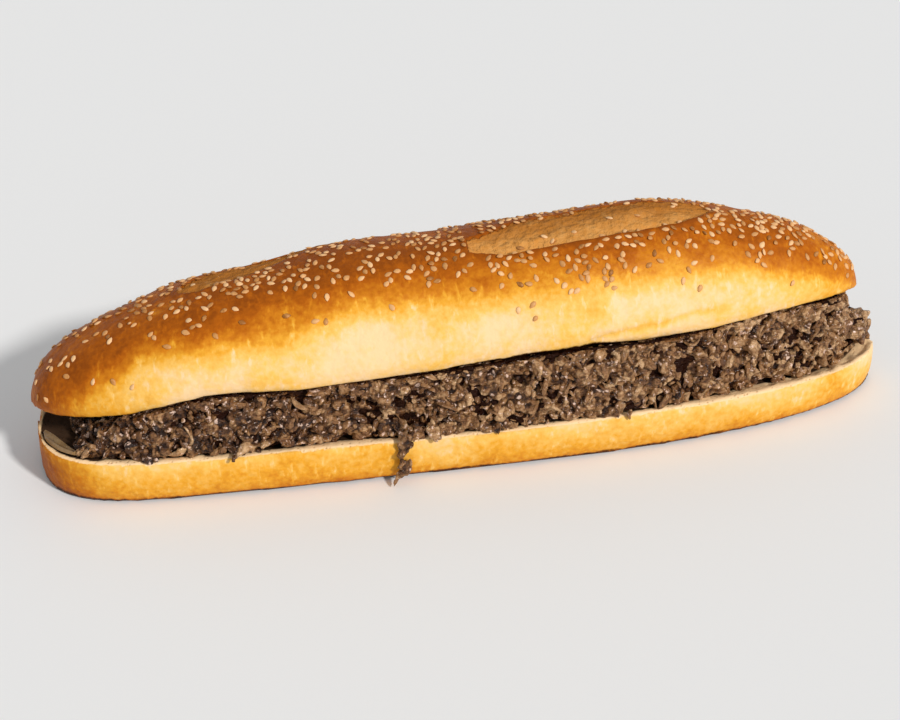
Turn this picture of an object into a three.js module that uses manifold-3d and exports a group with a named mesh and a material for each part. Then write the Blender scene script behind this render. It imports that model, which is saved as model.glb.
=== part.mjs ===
// A long sesame roll, cut from the front and filled with chopped beef.
// Millimetres: X runs along the roll, Y points to its uncut back, Z is up.
import * as THREE from "three";
import { mergeVertices } from "three/addons/utils/BufferGeometryUtils.js";
import Module from "manifold-3d";

const wasm = await Module();
wasm.setup();

// Driving dimensions. Lists of sizes are spaced evenly from the left end to the right one.
const HEEL = { left: -170.2, right: 171.8, halfWidths: [34.4, 37.6, 39.9] };
const HEEL_ENDS = { blunt: [10, 2.4], round: [2.4, 2] };
const HEEL_THICKNESS = [19.7, 19.4, 19.1, 18.5, 18.8, 18.5, 17.7];
const BASE_INSET = 3.5;
const CROWN = { left: -171.6, right: 161.4, halfWidths: [35.9, 37.3, 36.7] };
const CROWN_ENDS = { blunt: [5.2, 2.4], round: [2.1, 2.0] };
const CROWN_HEIGHTS = [43.9, 40, 39.3, 43.9, 42.7, 44.4, 48.3, 45.4, 42.2];
const CROWN_DOME = { blunt: [2.9, 3.3], round: [2, 2] };
const CROWN_EDGE_TUCK = 3;
const FRONT_GAP = [15.1, 19.6, 26.3, 26, 27.5, 30.3, 32, 31.7, 33.5, 36.9, 38.8];
const HINGE_GAP_SHARE = 0.38;
const HINGE = { from: -121, to: 126, thickness: 11, inset: 1.2 };
const CUT_SPAN = 72;
const CROWN_SHIFT = 0.6;
const DISH_DEPTH = { heel: 4.5, crown: 4 };
const CUT_RIM = 3;
const CUT_POINTS = [-0.9, -0.72, -0.45, 0, 0.45, 0.72, 0.9];
const SLASHES = [
  { from: -112, to: -34, turn: 1.86, width: 0.24, depth: 2.2 },
  { from: 8, to: 126, turn: 1.3, width: 0.42, depth: 2.4 },
];
const SEED = { length: 3.2, width: 2.1, height: 1.3, sunk: 0.3 };
const SEED_COUNT = 148;
const BEEF = { left: -154, right: 165, gap: 0.6 };
const BEEF_FRONT_INSET = [0.8, 0.8, 2.4, 1.2, 4.4, 1.2, 0.6, 0.8, 0.8, 4.2, 8, 6, 5];
const BEEF_LEAN = 3;
const BEEF_ROUNDING = 20;
const BEEF_REST_AT_LEFT = 5.5;
const BEEF_SLOPE = { length: 25, height: 32 };
const CHUNK_COUNT = 96;
const CHUNK_RADIUS = [3, 6];
const SHRED = { x: -31, width: 9, thickness: 2.2, drop: 14, overhang: 2.6 };
const SLICE = { length: 21, width: 5.6, thickness: 2.6, x: -162, y: -14, heading: -1.05, lift: 0.9 };
const STATIONS = 44;
const BEEF_STATIONS = 36;
const SLIVER = 0.04;

// Whole roll's half length, which gap and thickness sizes are spread over
const HALF_SPAN = 172;

// Catmull-Rom curve through evenly spaced values, read at u from -1 to 1
function along(values, u) {
  const last = values.length - 1;
  const at = ((THREE.MathUtils.clamp(u, -1, 1) + 1) / 2) * last;
  const i = Math.min(Math.floor(at), last - 1);
  const f = at - i;
  const b = values[i];
  const c = values[i + 1];
  const a = i > 0 ? values[i - 1] : 2 * b - c;
  const d = i < last - 1 ? values[i + 2] : 2 * c - b;
  const square = 2 * a - 5 * b + 4 * c - d;
  return 0.5 * (2 * b + (c - a) * f + square * f ** 2 + (3 * b - a - 3 * c + d) * f ** 3);
}

// Fall from 1 in the middle to 0 at both tips
function taper(u, ends) {
  const side = u < 0 ? 0 : 1;
  return Math.max(0, 1 - Math.abs(u) ** ends.blunt[side]) ** (1 / ends.round[side]);
}

// Position along a half from -1 to 1, and back to millimetres
function share(half, x) {
  return (2 * x - half.left - half.right) / (half.right - half.left);
}

function station(half, u) {
  return (half.left + half.right) / 2 + (u * (half.right - half.left)) / 2;
}

// Stations that crowd towards the two tips
function stations(count) {
  const tip = 0.992;
  const list = [];
  for (let i = 0; i <= count; i += 1) {
    list.push(Math.sin((Math.PI / 2) * tip * ((2 * i) / count - 1)));
  }
  return list;
}

function heelThickness(x) {
  return along(HEEL_THICKNESS, x / HALF_SPAN);
}

function heelHalfWidth(x) {
  const u = share(HEEL, x);
  return along(HEEL.halfWidths, u) * taper(u, HEEL_ENDS);
}

function crownHalfWidth(x) {
  const u = share(CROWN, x);
  return along(CROWN.halfWidths, u) * taper(u, CROWN_ENDS);
}

// Shallow hollow that the cut leaves in the crumb, with a flat rim round it
function dish(y, halfWidth, depth) {
  const inner = Math.max(halfWidth - CUT_RIM, 0.01);
  const across = Math.min(Math.abs(y) / inner, 1);
  const room = Math.min(halfWidth / 25, 1);
  return depth * room * (1 - across ** 4);
}

function crownHeight(x) {
  const u = share(CROWN, x);
  return along(CROWN_HEIGHTS, u) * taper(u, CROWN_DOME);
}

// Half width of the crown's cut face, which its rounded lower edge makes narrower
function crownCutHalf(x) {
  const halfWidth = crownHalfWidth(x);
  return halfWidth - Math.min(CROWN_EDGE_TUCK, halfWidth * 0.3);
}

function crownHollow(x, y) {
  return Math.min(dish(y, crownCutHalf(x), DISH_DEPTH.crown), crownHeight(x) * 0.3);
}

// How the crown sits over the heel at x: its middle height and its backward tilt
function crownSeat(x) {
  const front = along(FRONT_GAP, x / HALF_SPAN);
  const back = HINGE_GAP_SHARE * front;
  return {
    z: heelThickness(x) + (front + back) / 2,
    tilt: Math.atan2(front - back, CUT_SPAN),
    hinge: back,
  };
}

function seated(x, y, z) {
  const seat = crownSeat(x);
  return [
    x,
    CROWN_SHIFT + y * Math.cos(seat.tilt) + z * Math.sin(seat.tilt),
    seat.z - y * Math.sin(seat.tilt) + z * Math.cos(seat.tilt),
  ];
}

// Signed power, which rounds a section between an ellipse and a box
function bulge(value, power) {
  return Math.sign(value) * Math.abs(value) ** (2 / power);
}

// Where the baker's slashes opened, the crust sinks a little and is seedless
function slash(x, turn) {
  let depth = 0;
  for (const cut of SLASHES) {
    const middle = (cut.from + cut.to) / 2;
    const reach = Math.abs(x - middle) / ((cut.to - cut.from) / 2);
    const side = Math.abs(turn - cut.turn) / cut.width;
    if (reach < 1 && side < 1) depth = Math.max(depth, cut.depth * (1 - reach ** 4) * (1 - side ** 4));
  }
  return depth;
}

// Point of the crown's crust: turn goes over the top from 0 at the front edge to pi at the back
function crustPoint(x, turn) {
  const halfWidth = crownHalfWidth(x);
  const z = (crownHeight(x) - slash(x, turn)) * bulge(Math.sin(turn), 2.2);
  const tuck = CROWN_EDGE_TUCK * THREE.MathUtils.clamp(1 - z / 9, 0, 1) ** 2;
  const inward = Math.min(tuck, halfWidth * 0.3);
  const y = -halfWidth * bulge(Math.cos(turn), 2.3) + Math.sign(Math.cos(turn)) * inward;
  return seated(x, y, z);
}

// Height of the two cut faces that the filling lies between
function floorAt(x, y) {
  return heelThickness(x) - dish(y, heelHalfWidth(x), DISH_DEPTH.heel);
}

function ceilingAt(x, y) {
  const seat = crownSeat(x);
  const across = (y - CROWN_SHIFT) / Math.cos(seat.tilt);
  return seat.z - across * Math.sin(seat.tilt) + crownHollow(x, across) * Math.cos(seat.tilt);
}

// Closed skin over rings of equal length, each end closed by a fan round its middle
function skin(rings) {
  const size = rings[0].length;
  const points = rings.flat();
  const faces = [];
  for (let r = 0; r < rings.length - 1; r += 1) {
    for (let i = 0; i < size; i += 1) {
      const a = r * size + i;
      const b = r * size + ((i + 1) % size);
      faces.push([a, b, b + size], [a, b + size, a + size]);
    }
  }
  for (const last of [false, true]) {
    const ring = last ? rings.at(-1) : rings[0];
    const start = last ? (rings.length - 1) * size : 0;
    const middle = [0, 1, 2].map((k) => ring.reduce((sum, point) => sum + point[k], 0) / size);
    points.push(middle);
    for (let i = 0; i < size; i += 1) {
      const edge = [start + i, start + ((i + 1) % size)];
      faces.push(last ? [...edge, points.length - 1] : [edge[1], edge[0], points.length - 1]);
    }
  }
  const geometry = new THREE.BufferGeometry();
  geometry.setAttribute("position", new THREE.Float32BufferAttribute(points.flat(), 3));
  geometry.setIndex(faces.flat());
  return geometry;
}

function solidOf(geometry) {
  const bare = geometry.clone();
  bare.deleteAttribute("normal");
  bare.deleteAttribute("uv");
  const merged = mergeVertices(bare, 1e-4);
  const vertProperties = merged.attributes.position.array;
  const triVerts = Uint32Array.from(merged.index.array);
  return new wasm.Manifold(new wasm.Mesh({ numProp: 3, vertProperties, triVerts }));
}

// Joins solids into one, keeps its largest shell, and so fills any sealed pocket
function joined(solids) {
  const whole = solids.reduce((sum, solid) => sum.add(solid)).asOriginal().simplify(SLIVER);
  const shells = whole.decompose().sort((a, b) => b.volume() - a.volume());
  const mesh = shells[0].getMesh();
  const geometry = new THREE.BufferGeometry();
  geometry.setAttribute("position", new THREE.BufferAttribute(mesh.vertProperties, 3));
  geometry.setIndex(new THREE.BufferAttribute(mesh.triVerts, 1));
  return geometry;
}

// Repeatable random numbers from 0 to 1
function randomSource(start) {
  let state = start;
  return () => {
    state = (state + 0x6d2b79f5) | 0;
    let mixed = Math.imul(state ^ (state >>> 15), 1 | state);
    mixed = (mixed + Math.imul(mixed ^ (mixed >>> 7), 61 | mixed)) ^ mixed;
    return ((mixed ^ (mixed >>> 14)) >>> 0) / 4294967296;
  };
}

// Lower half: flat base, sides that swell upwards, and a dished cut face
function heelRing(x) {
  const wide = heelHalfWidth(x);
  const base = Math.max(wide - BASE_INSET, wide * 0.4);
  const top = heelThickness(x);
  const side = [
    [base, 0],
    [base + (wide - base) * 0.62, top * 0.2],
    [base + (wide - base) * 0.9, top * 0.55],
    [wide, top * 0.88],
    [wide - Math.min(0.9, wide * 0.05), top],
  ];
  const cut = CUT_POINTS.map((f) => [x, f * wide, floorAt(x, f * wide)]);
  const front = side.map(([y, z]) => [x, -y, z]);
  const back = side.map(([y, z]) => [x, y, z]);
  return [...front.toReversed(), [x, 0, 0], ...back, ...cut.toReversed()];
}

function heelSkin() {
  return skin(stations(STATIONS).map((u) => heelRing(station(HEEL, u))));
}

// Upper half: a dome of crust over a cut face that is hollowed a little
function crownRing(x) {
  const arcSteps = 26;
  const ring = [];
  for (let i = 0; i <= arcSteps; i += 1) ring.push(crustPoint(x, Math.PI * (1 - i / arcSteps)));
  for (const f of CUT_POINTS) {
    const y = f * crownCutHalf(x);
    ring.push(seated(x, y, crownHollow(x, y)));
  }
  return ring;
}

function crownSkin() {
  return skin(stations(STATIONS).map((u) => crownRing(station(CROWN, u))));
}

// Uncut strip of bread along the back that keeps the two halves together
function hingeRing(x) {
  const wide = Math.min(heelHalfWidth(x), crownHalfWidth(x));
  const outer = wide - HINGE.inset;
  const waist = outer - 1.5;
  const inner = outer - HINGE.thickness;
  const low = heelThickness(x) - 7;
  const middle = heelThickness(x) + crownSeat(x).hinge / 2;
  const high = ceilingAt(x, outer) + 7;
  return [
    [x, inner, low],
    [x, outer, low],
    [x, waist, middle],
    [x, outer, high],
    [x, inner, high],
  ];
}

function hingeSkin() {
  const steps = 24;
  const rings = [];
  for (let i = 0; i <= steps; i += 1) {
    rings.push(hingeRing(THREE.MathUtils.lerp(HINGE.from, HINGE.to, i / steps)));
  }
  return skin(rings);
}

// One sesame seed: a flat drop that lies in the crust
function seedSkin(x, turn, spin) {
  const middle = new THREE.Vector3(...crustPoint(x, turn));
  const next = new THREE.Vector3(...crustPoint(x + 0.5, turn)).sub(middle).normalize();
  const over = new THREE.Vector3(...crustPoint(x, turn + 0.02)).sub(middle).normalize();
  const out = new THREE.Vector3().crossVectors(next, over).normalize();
  const aside = new THREE.Vector3().crossVectors(out, next);
  const geometry = new THREE.IcosahedronGeometry(0.5, 0);
  geometry.scale(SEED.length, SEED.width, SEED.height);
  geometry.rotateZ(spin);
  geometry.translate(0, 0, SEED.sunk);
  geometry.applyMatrix4(new THREE.Matrix4().makeBasis(next, aside, out).setPosition(middle));
  return geometry;
}

// Seeds lie thick over the top and thin out down the sides and at the left end
function seedShare(x, turn) {
  const upFront = THREE.MathUtils.smoothstep(turn, 0.45, 1.15);
  const upBack = THREE.MathUtils.smoothstep(Math.PI - turn, 0.5, 1.2);
  const fromTip = THREE.MathUtils.smoothstep(x, -185, -95);
  return slash(x, turn) > 0.2 ? 0 : upFront * upBack * (0.25 + 0.75 * fromTip);
}

function seedSkins() {
  const random = randomSource(11);
  const placed = [];
  const skins = [];
  while (skins.length < SEED_COUNT) {
    const x = THREE.MathUtils.lerp(CROWN.left + 8, CROWN.right - 7, random());
    const turn = Math.PI * random();
    const keep = random() < seedShare(x, turn);
    const middle = new THREE.Vector3(...crustPoint(x, turn));
    if (!keep || placed.some((other) => other.distanceTo(middle) < SEED.length * 1.35)) continue;
    placed.push(middle);
    skins.push(seedSkin(x, turn, Math.PI * random()));
  }
  return skins;
}

// Filling's height: it fills the gap, and slopes down towards the left end
function beefTop(x, y) {
  const roof = Math.min(freeTop(x), x < CROWN.right ? ceilingAt(x, y) : Infinity);
  const floor = floorAt(x, y);
  const fill = THREE.MathUtils.smoothstep(x, BEEF.left - 8, BEEF.left + 34);
  const low = floor + BEEF_REST_AT_LEFT + 4 * fill;
  return THREE.MathUtils.lerp(Math.min(low, roof - BEEF.gap), roof - BEEF.gap, fill);
}

// The filling's right end is a rounded slope that comes out past the crown's tip
function freeTop(x) {
  const fall = THREE.MathUtils.clamp((x - BEEF.right + BEEF_SLOPE.length) / BEEF_SLOPE.length, 0, 1);
  return heelThickness(x) + BEEF_SLOPE.height * Math.sqrt(Math.max(0, 1 - fall ** 3)) + 2;
}

// Front and back of the filling at x
function beefSides(x) {
  const wide = heelHalfWidth(x);
  const u = share(BEEF, x);
  const rounding = Math.max(0, 1 - Math.abs(u) ** BEEF_ROUNDING) ** 0.5;
  const behind = Math.min(wide, crownHalfWidth(Math.min(x, HINGE.to))) - HINGE.inset - HINGE.thickness;
  return {
    front: -(wide - along(BEEF_FRONT_INSET, x / HALF_SPAN)) * rounding,
    back: (behind - BEEF.gap) * rounding,
  };
}

function beefRing(x) {
  const { front, back } = beefSides(x);
  const low = [];
  const high = [];
  for (const across of [0, 0.06, 0.14, 0.3, 0.5, 0.75, 1]) {
    const y = THREE.MathUtils.lerp(front, back, across);
    const over = y + BEEF_LEAN * (1 - across);
    low.push([x, y, floorAt(x, y) + BEEF.gap]);
    high.push([x, over, Math.max(beefTop(x, over), floorAt(x, over) + BEEF.gap + 1)]);
  }
  const waist = [x, front + BEEF_LEAN * 0.1, (low[0][2] + high[0][2]) / 2];
  return [...low, ...high.toReversed(), waist];
}

function beefCore() {
  return skin(stations(BEEF_STATIONS).map((u) => beefRing(station(BEEF, u))));
}

// One chopped lump, flattened at random and kept clear of both cut faces
function chunkSkin(random, x, y, z, radius) {
  const geometry = new THREE.IcosahedronGeometry(radius, 0);
  geometry.scale(0.75 + 0.5 * random(), 0.7 + 0.3 * random(), 0.6 + 0.4 * random());
  geometry.rotateX(Math.PI * random());
  geometry.rotateY(Math.PI * random());
  geometry.rotateZ(Math.PI * random());
  geometry.translate(x, y, z);
  const position = geometry.attributes.position;
  for (let i = 0; i < position.count; i += 1) {
    const px = position.getX(i);
    const py = position.getY(i);
    const low = floorAt(px, py) + BEEF.gap;
    const high = px < CROWN.right - 3 ? ceilingAt(px, py) - BEEF.gap : Infinity;
    position.setZ(i, Math.max(Math.min(position.getZ(i), high), low));
  }
  return geometry;
}

// Lumps stud the front of the filling and its free right end
function chunkSkins() {
  const random = randomSource(5);
  const skins = [];
  for (let i = 0; i < CHUNK_COUNT; i += 1) {
    const x = THREE.MathUtils.lerp(BEEF.left + 5, BEEF.right - 6, (i + random()) / CHUNK_COUNT);
    const radius = THREE.MathUtils.lerp(...CHUNK_RADIUS, random());
    const level = [0.12, 0.62, 0.34, 0.88][i % 4] + 0.12 * (random() - 0.5);
    const y = beefSides(x).front + BEEF_LEAN * level ** 2 + radius * 0.12 + 1.5 * random();
    const low = floorAt(x, y) + radius * 0.5;
    const high = beefTop(x, y) - radius * 0.5;
    skins.push(chunkSkin(random, x, y, THREE.MathUtils.lerp(low, high, level), radius));
  }
  return skins;
}

// One shred of beef that hangs over the rim of the heel
function shredSkin() {
  const rim = -heelHalfWidth(SHRED.x);
  const top = heelThickness(SHRED.x);
  const path = new THREE.CatmullRomCurve3([
    new THREE.Vector3(SHRED.x, rim + 9, top + 3.6),
    new THREE.Vector3(SHRED.x - 0.5, rim + 2, top + 2.6),
    new THREE.Vector3(SHRED.x - 0.8, rim - SHRED.overhang * 0.8, top + 0.8),
    new THREE.Vector3(SHRED.x - 1.6, rim - SHRED.overhang, top - SHRED.drop * 0.5),
    new THREE.Vector3(SHRED.x - 2.2, rim - SHRED.overhang * 0.9, top - SHRED.drop),
  ]);
  const rings = path.getPoints(9).map((middle, i) => {
    const thin = 1 - 0.055 * i;
    const across = (SHRED.width / 2) * thin;
    const deep = (SHRED.thickness / 2) * thin;
    const slope = path.getTangent(i / 9);
    const out = new THREE.Vector3(0, slope.z, -slope.y).normalize();
    return [0, 1, 2, 3, 4, 5].map((corner) => {
      const angle = (corner * Math.PI) / 3;
      const spot = middle.clone().addScaledVector(out, deep * Math.sin(angle));
      return [spot.x + across * Math.cos(angle), spot.y, spot.z];
    });
  });
  return skin(rings);
}

// Pale limp slice that lies at the left end between the heel and the beef
function sliceSkin() {
  const steps = 8;
  const rings = [];
  for (let i = 0; i <= steps; i += 1) {
    const f = (2 * i) / steps - 1;
    const half = (SLICE.width / 2) * Math.sqrt(1 - 0.93 * f * f);
    const low = [];
    const high = [];
    for (let k = 0; k <= 3; k += 1) {
      const ahead = (f * SLICE.length) / 2;
      const aside = half * ((2 * k) / 3 - 1);
      const x = SLICE.x + ahead * Math.cos(SLICE.heading) - aside * Math.sin(SLICE.heading);
      const y = SLICE.y + ahead * Math.sin(SLICE.heading) + aside * Math.cos(SLICE.heading);
      const z = floorAt(x, y) + SLICE.lift;
      low.push([x, y, z]);
      high.push([x, y, z + SLICE.thickness * (0.75 + 0.25 * Math.cos(k + 2 * f))]);
    }
    rings.push([...low, ...high.toReversed()]);
  }
  return skin(rings);
}

function named(name, geometry, colour, roughness) {
  const flat = geometry.index ? geometry.toNonIndexed() : geometry;
  flat.computeVertexNormals();
  const finish = new THREE.MeshStandardMaterial({ color: colour, roughness, metalness: 0 });
  const mesh = new THREE.Mesh(flat, finish);
  mesh.name = name;
  return mesh;
}

function roll() {
  const bread = [crownSkin(), heelSkin(), hingeSkin()].map(solidOf);
  const seeds = seedSkins().map(solidOf);
  return named("sesame_roll", joined([...bread, ...seeds]), 0xd9973f, 0.55);
}

function filling() {
  const lumps = chunkSkins().map(solidOf);
  return named("chopped_beef", joined([solidOf(beefCore()), ...lumps, solidOf(shredSkin())]), 0x6b5648, 0.5);
}

const sandwich = new THREE.Group();
sandwich.add(roll(), filling());
sandwich.add(named("pale_slice", sliceSkin(), 0xb59a78, 0.5));

export default sandwich;
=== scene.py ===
import math

import bmesh
import bpy
import numpy as np
from mathutils import Matrix, Vector
from mathutils.bvhtree import BVHTree
from mathutils.kdtree import KDTree


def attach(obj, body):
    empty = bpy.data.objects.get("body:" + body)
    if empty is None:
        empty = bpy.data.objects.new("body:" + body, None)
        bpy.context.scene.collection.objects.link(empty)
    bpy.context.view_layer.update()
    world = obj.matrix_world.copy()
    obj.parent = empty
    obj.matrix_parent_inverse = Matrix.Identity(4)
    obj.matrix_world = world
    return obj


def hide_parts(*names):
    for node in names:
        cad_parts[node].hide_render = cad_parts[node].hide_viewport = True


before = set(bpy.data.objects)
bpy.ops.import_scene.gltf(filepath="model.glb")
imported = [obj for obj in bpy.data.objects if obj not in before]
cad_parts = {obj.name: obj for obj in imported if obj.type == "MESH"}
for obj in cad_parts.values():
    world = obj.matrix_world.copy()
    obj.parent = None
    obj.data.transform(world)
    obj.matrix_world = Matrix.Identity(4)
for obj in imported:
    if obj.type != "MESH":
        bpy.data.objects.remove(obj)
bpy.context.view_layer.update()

# The sandwich's driving sizes in millimetres: X along the roll, Y to its uncut back, Z up.
# Rows of sizes are spaced evenly from the left end to the right one.
MM = 0.001
HEEL = {"left": -170.2, "right": 171.8, "half_widths": (34.4, 37.6, 39.9)}
HEEL_ENDS = {"blunt": (10, 2.4), "round": (2.4, 2)}
HEEL_THICKNESS = (19.7, 19.4, 19.1, 18.5, 18.8, 18.5, 17.7)
BASE_INSET = 3.5
CROWN = {"left": -171.6, "right": 161.4, "half_widths": (35.9, 37.3, 36.7)}
CROWN_ENDS = {"blunt": (5.2, 2.4), "round": (2.1, 2.0)}
CROWN_HEIGHTS = (43.9, 40, 39.3, 43.9, 42.7, 44.4, 48.3, 45.4, 42.2)
CROWN_DOME = {"blunt": (2.9, 3.3), "round": (2, 2)}
CROWN_TUCK = 3
FRONT_GAP = (15.1, 19.6, 26.3, 26, 27.5, 30.3, 32, 31.7, 33.5, 36.9, 38.8)
HINGE_SHARE = 0.38
HINGE = {"from": -121, "to": 126, "thickness": 11, "inset": 1.2}
CUT_SPAN = 72
CROWN_SHIFT = 0.6
DISH = {"heel": 4.5, "crown": 4}
CUT_RIM = 3
HALF_SPAN = 172
SLASHES = (
    {"from": -112, "to": -34, "turn": 1.86, "width": 0.24, "depth": 2.2},
    {"from": 8, "to": 126, "turn": 1.3, "width": 0.42, "depth": 2.4},
)
BEEF = {"left": -154, "right": 165, "gap": 0.6, "lean": 3, "rounding": 20}
BEEF_INSET = (0.8, 0.8, 2.4, 1.2, 4.4, 1.2, 0.6, 0.8, 0.8, 4.2, 8, 6, 5)
BEEF_LOW = 5.5
BEEF_SLOPE = {"length": 25, "height": 32}
SHRED = {"x": -31, "top_width": 10, "low_width": 4.5, "drop": 14.5}

# What only the finish needs, in millimetres too. A voxel is the grid step of a remeshed skin.
# A grid is a skin's steps along it and round it. The two counts are of the noise's random draws.
BREAD_VOXEL = 1.25
CROWN_GRID = (260, 150)
HEEL_GRID = (260, 120)
HINGE_GRID = (90, 60)
BEEF_GRID = (420, 150)
SLOPE_COUNT = 512
OFFSET_COUNT = 4096
CRUST_PER_DEGREE = 0.68
SWELL = {"size": 34, "height": 0.6, "shade": 0.13}
DENTS = {"size": 9, "height": 0.22, "shade": 0.05}
TORN_CRUMB = {"size": 4, "height": 0.45}
SEED = {"length": 3.15, "width": 2.1, "height": 0.95, "proud": 0.16, "apart": 2.15}
SEED_COUNT = 900
SEED_TRIES = 26000
SEED_CLUMP = 9

# The beef's core, painted near black as shade between its bits, lies set back under them. Hollows are x,
# z and reach, nearly free of bits.
CORE = {"set_back": 2.9, "lump": 4.2, "lump_height": 1.7, "wave": 2.6, "wave_height": 0.8}
END = {"from": 146, "to": 162, "set_back": 2.2, "bits_back": 0.4, "more_bits": 0.9}
END_CORNER = {"back": 8.5, "top": 3}
BEEF_PATCH = 8
BEEF_TOP_GAP = 1.5
BEEF_CLEARANCE = 0.12
BEEF_HOLLOWS = ((80, 35, 5), (-41, 27, 3.2), (10, 23, 2.6), (-84, 24, 3))
SPILLED_SHARE = 0.035
MASS = {"voxel": 0.8, "wave": 2.4, "wave_height": 0.55, "crack": 3.2, "crack_depth": 0.5}
# Folds: smoothing passes that find them, and how much painted shade darkens them.
FOLD = {"smoothing": 8, "shade": 0.8}

# Kinds of beef bits: sizes in millimetres, stretch by axis, out in bit sizes, tone as mean and spread.
# Standouts are x, z, size and tone of single bits that the photo shows.
LUMPS = {
    "count": 2000,
    "size": (1.3, 3.3),
    "stretch": (1.35, 0.95, 0.7),
    "rough": 0.6,
    "fold": 0.4,
    "out": (-0.9, 0.35),
    "tone": (0.5, 0.17),
    "standouts": (
        (108, 36, 5, 0.62),
        (140, 38, 4.6, 0.66),
        (84, 33, 3, 0.1),
        (-108, 31.6, 2.3, 1),
        (-60, 30, 4.4, 0.6),
    ),
}
FLAKES = {
    "count": 650,
    "size": (1.5, 3.0),
    "stretch": (1.3, 0.85, 0.34),
    "rough": 0.55,
    "fold": 0.5,
    "out": (0.0, 0.5),
    "tone": (0.5, 0.17),
    "standouts": ((-113.7, 27, 4, 1.1), (-118.6, 21.2, 3.2, 1.15), (6, 25.4, 3, 0.9)),
}
CRUMBS = {
    "count": 900,
    "size": (0.7, 1.3),
    "stretch": (1.3, 0.9, 0.7),
    "rough": 0.6,
    "fold": 0.3,
    "out": (0.6, 2.2),
    "tone": (0.52, 0.18),
    "standouts": (),
}
SHRED_BITS = {
    "count": 34,
    "size": (2.0, 3.4),
    "stretch": (1.35, 0.5, 0.26),
    "rough": 0.22,
    "fold": 0.25,
    "out": (0.05, 0.4),
    "tone": (0.44, 0.16),
    "hang": 0.3,
    "standouts": ((-33.2, 16, 3.4, 0.95), (-32, 9, 2.4, 0.3)),
}


def along(values, u):
    """A smooth curve through evenly spaced values, read at u from -1 to 1."""
    sizes = np.asarray(values, float)
    last = len(sizes) - 1
    at = (np.clip(u, -1, 1) + 1) / 2 * last
    i = np.minimum(at.astype(int), last - 1)
    f = at - i
    b, c = sizes[i], sizes[i + 1]
    a = np.where(i > 0, sizes[np.maximum(i - 1, 0)], 2 * b - c)
    d = np.where(i < last - 1, sizes[np.minimum(i + 2, last)], 2 * c - b)
    square = 2 * a - 5 * b + 4 * c - d
    return 0.5 * (2 * b + (c - a) * f + square * f**2 + (3 * b - a - 3 * c + d) * f**3)


def taper(u, ends):
    """Falls from 1 in the middle to 0 at both tips."""
    blunt = np.where(u < 0, ends["blunt"][0], ends["blunt"][1])
    power = np.where(u < 0, ends["round"][0], ends["round"][1])
    return np.clip(1 - np.abs(u) ** blunt, 0, 1) ** (1 / power)


def ease(low, high, value):
    """Smooth step from 0 at low to 1 at high."""
    t = np.clip((value - low) / (high - low), 0, 1)
    return t * t * (3 - 2 * t)


def share(half, x):
    """Where x lies along a half: -1 at its left tip and 1 at its right one."""
    return (2 * x - half["left"] - half["right"]) / (half["right"] - half["left"])


def station(half, a):
    """Place along a half for a from -1 to 1, crowded towards the tips."""
    u = np.sin(math.pi / 2 * 0.996 * a)
    return (half["left"] + half["right"]) / 2 + u * (half["right"] - half["left"]) / 2


def heel_top(x):
    return along(HEEL_THICKNESS, x / HALF_SPAN)


def heel_half(x):
    u = share(HEEL, x)
    return along(HEEL["half_widths"], u) * taper(u, HEEL_ENDS)


def crown_half(x):
    u = share(CROWN, x)
    return along(CROWN["half_widths"], u) * taper(u, CROWN_ENDS)


def crown_height(x):
    u = share(CROWN, x)
    return along(CROWN_HEIGHTS, u) * taper(u, CROWN_DOME)


def crown_cut_half(x):
    half = crown_half(x)
    return half - np.minimum(CROWN_TUCK, half * 0.3)


def dish(y, half, depth):
    """Shallow hollow that the cut leaves in the crumb."""
    inner = np.maximum(half - CUT_RIM, 0.01)
    across = np.minimum(np.abs(y) / inner, 1)
    return depth * np.minimum(half / 25, 1) * (1 - across**4)


def crown_hollow(x, y):
    return np.minimum(dish(y, crown_cut_half(x), DISH["crown"]), crown_height(x) * 0.3)


def crown_seat(x):
    """Middle height of the crown's cut face and its backward tilt."""
    front = along(FRONT_GAP, x / HALF_SPAN)
    back = HINGE_SHARE * front
    return heel_top(x) + (front + back) / 2, np.arctan2(front - back, CUT_SPAN)


def seated(x, y, z):
    """Turns a place in the crown's own section into one in the sandwich."""
    middle, tilt = crown_seat(x)
    back = CROWN_SHIFT + y * np.cos(tilt) + z * np.sin(tilt)
    up = middle - y * np.sin(tilt) + z * np.cos(tilt)
    return np.stack([x + 0 * y, back, up], -1)


def unseated(x, y, z):
    """The other way round: a place in the sandwich in the crown's own section."""
    middle, tilt = crown_seat(x)
    back, up = y - CROWN_SHIFT, z - middle
    return back * np.cos(tilt) - up * np.sin(tilt), back * np.sin(tilt) + up * np.cos(tilt)


def bulge(value, power):
    """Makes the curve of a sine or cosine fuller."""
    return np.sign(value) * np.abs(value) ** (2 / power)


def slash_depth(x, turn):
    """How far the crust sinks where the baker's slashes opened."""
    deepest = np.zeros(np.broadcast(x, turn).shape)
    for cut in SLASHES:
        middle = (cut["from"] + cut["to"]) / 2
        reach = np.clip(np.abs(x - middle) / ((cut["to"] - cut["from"]) / 2), 0, 1)
        side = np.clip(np.abs(turn - cut["turn"]) / cut["width"], 0, 1)
        deepest = np.maximum(deepest, cut["depth"] * (1 - reach**4) * (1 - side**4))
    return deepest


def crust_point(x, turn):
    """The crown's crust, where turn goes over the top from 0 in front to pi at the back."""
    half = crown_half(x)
    z = (crown_height(x) - slash_depth(x, turn)) * bulge(np.sin(turn), 2.2)
    inward = np.minimum(CROWN_TUCK * np.clip(1 - z / 9, 0, 1) ** 2, half * 0.3)
    y = -half * bulge(np.cos(turn), 2.3) + np.sign(np.cos(turn)) * inward
    return seated(x, y, z)


def floor_at(x, y):
    return heel_top(x) - dish(y, heel_half(x), DISH["heel"])


def ceiling_at(x, y):
    middle, tilt = crown_seat(x)
    across = (y - CROWN_SHIFT) / np.cos(tilt)
    return middle - across * np.sin(tilt) + crown_hollow(x, across) * np.cos(tilt)


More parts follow.
